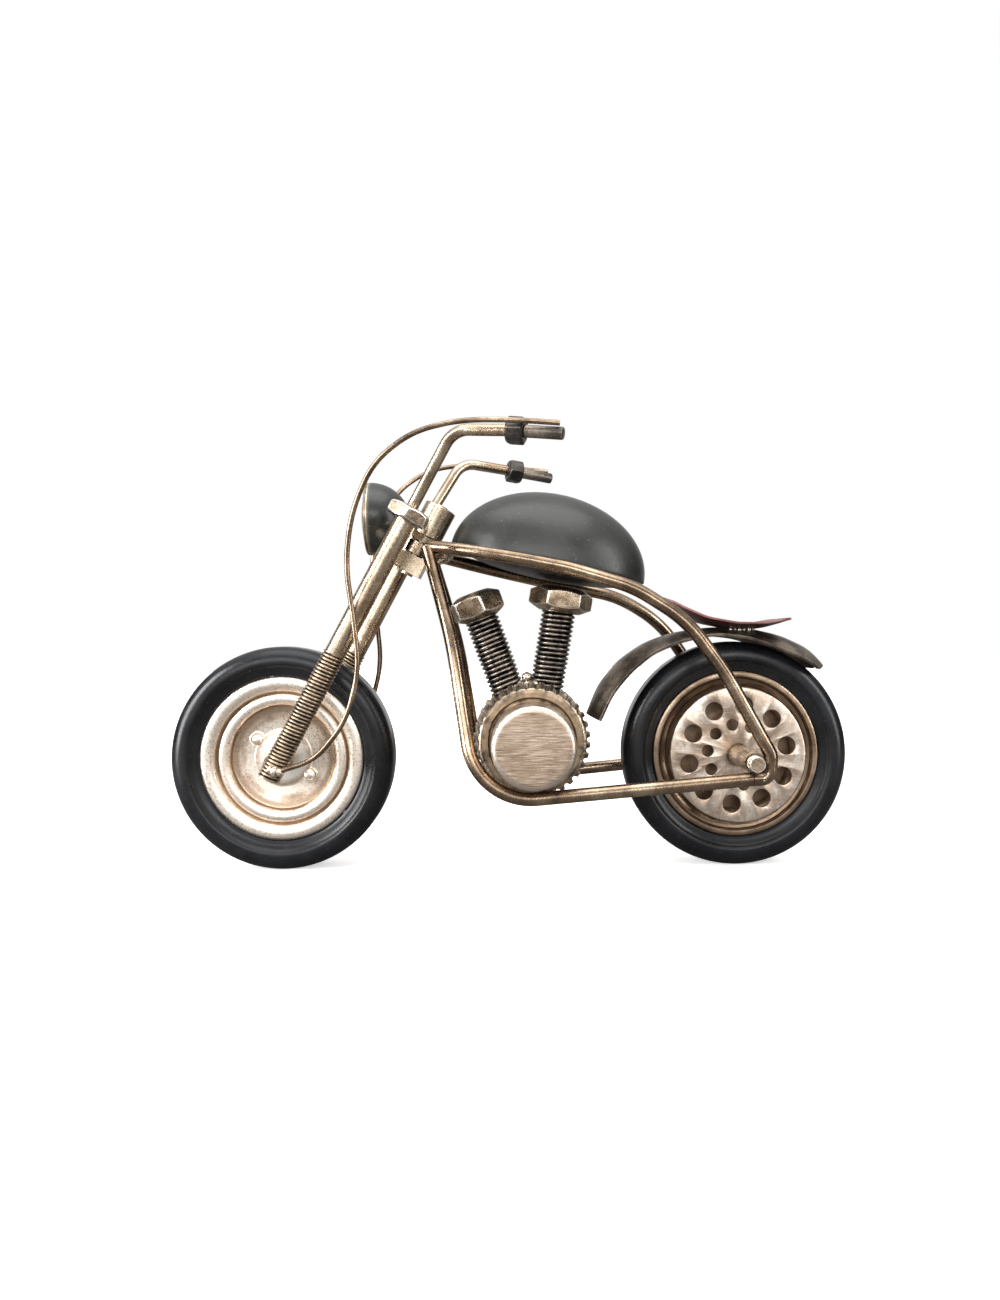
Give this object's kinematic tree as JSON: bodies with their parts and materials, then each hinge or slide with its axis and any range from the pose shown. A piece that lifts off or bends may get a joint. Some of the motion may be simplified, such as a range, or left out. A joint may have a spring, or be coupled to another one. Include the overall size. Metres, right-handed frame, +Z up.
{
  "type": "chopper motorcycle model",
  "caption": "Long-fork chopper motorcycle model welded from bolts, nuts, rod and pressed sheet, with two spinning wheels and steering handlebars.",
  "frame": {"origin": "on the ground, half way between the two axles, in the middle of the width", "axes": "+Z up, -X to the front of the machine, -Y to its left side"},
  "size_m": [0.1624, 0.0628, 0.1035],
  "materials": {
    "bronze_rod": "antique bronze wash over drawn steel rod, rubbed bright on top",
    "dark_thread": "dark wash in the thread grooves, rubbed crests",
    "pale_bronze_sheet": "pale bronze sheet, darker in the steps and round holes",
    "brushed_bronze": "linished bronze with a bright worn edge",
    "weld": "rough weld bead, bronze wash",
    "pewter_sheet": "pewter-grey satin sheet",
    "black_enamel": "black satin paint with rubbed patches",
    "black_steel": "black paint over steel",
    "red_brown_enamel": "dark red-brown satin paint",
    "tyre": "black, semi-gloss"
  },
  "bodies": {
    "frame": {"head_tube": "bronze_rod", "head_gusset": "weld", "top_rail_left": "bronze_rod", "top_rail_right": "bronze_rod", "cradle_rail_left": "bronze_rod", "cradle_rail_right": "bronze_rod", "engine_mount_bar": "bronze_rod", "rear_axle": "bronze_rod", "axle_sleeve_left": "bronze_rod", "axle_sleeve_right": "bronze_rod", "crankcase": "brushed_bronze", "case_gear_left": "brushed_bronze", "case_gear_right": "brushed_bronze", "case_cap_left": "brushed_bronze", "case_cap_right": "brushed_bronze", "cylinder_bolt_front": "dark_thread", "cylinder_bolt_rear": "dark_thread", "weld_saddle": "weld", "tank_shell": "black_enamel", "tank_base": "black_enamel", "mudguard": "pewter_sheet", "seat": "red_brown_enamel"},
    "fork": {"steering_stem": "dark_thread", "steering_collar": "bronze_rod", "upper_yoke": "bronze_rod", "lower_yoke": "bronze_rod", "fork_tube_left": "bronze_rod", "fork_tube_right": "bronze_rod", "fork_screw_left": "dark_thread", "fork_screw_right": "dark_thread", "fork_nut_left": "bronze_rod", "fork_nut_right": "bronze_rod", "handlebar_left": "bronze_rod", "handlebar_right": "bronze_rod", "bar_nut_left": "black_steel", "bar_nut_right": "black_steel", "grip_left": "black_steel", "grip_right": "black_steel", "brake_wire_left": "bronze_rod", "brake_wire_right": "bronze_rod", "foot_welds": "weld", "headlight_shell": "black_enamel", "headlight_rim": "pale_bronze_sheet", "headlight_lens": "pale_bronze_sheet", "headlight_stud": "bronze_rod", "front_axle": "bronze_rod", "axle_spacer_left": "bronze_rod", "axle_spacer_right": "bronze_rod"},
    "front_wheel": {"front_tyre": "tyre", "front_rim_left": "pale_bronze_sheet", "front_rim_right": "pale_bronze_sheet", "front_hub": "bronze_rod", "front_hub_plates": "pale_bronze_sheet", "front_rivets": "pale_bronze_sheet"},
    "rear_wheel": {"rear_tyre": "tyre", "rear_rim_left": "pale_bronze_sheet", "rear_rim_right": "pale_bronze_sheet", "rear_hub": "bronze_rod", "rear_disc": "pale_bronze_sheet"}
  },
  "joints": [
    {"name": "steering", "type": "hinge", "parent": "frame", "child": "fork", "pos_m": [-0.0176, 0, 0.0835], "axis": [0.4775, 0, 0.8787], "range_deg": [-25, 25]},
    {"name": "front_wheel_spin", "type": "hinge", "parent": "fork", "child": "front_wheel", "pos_m": [-0.0544, 0, 0.0268], "axis": [0, 1, 0], "continuous": true},
    {"name": "rear_wheel_spin", "type": "hinge", "parent": "frame", "child": "rear_wheel", "pos_m": [0.0544, 0, 0.0268], "axis": [0, 1, 0], "continuous": true}
  ]
}
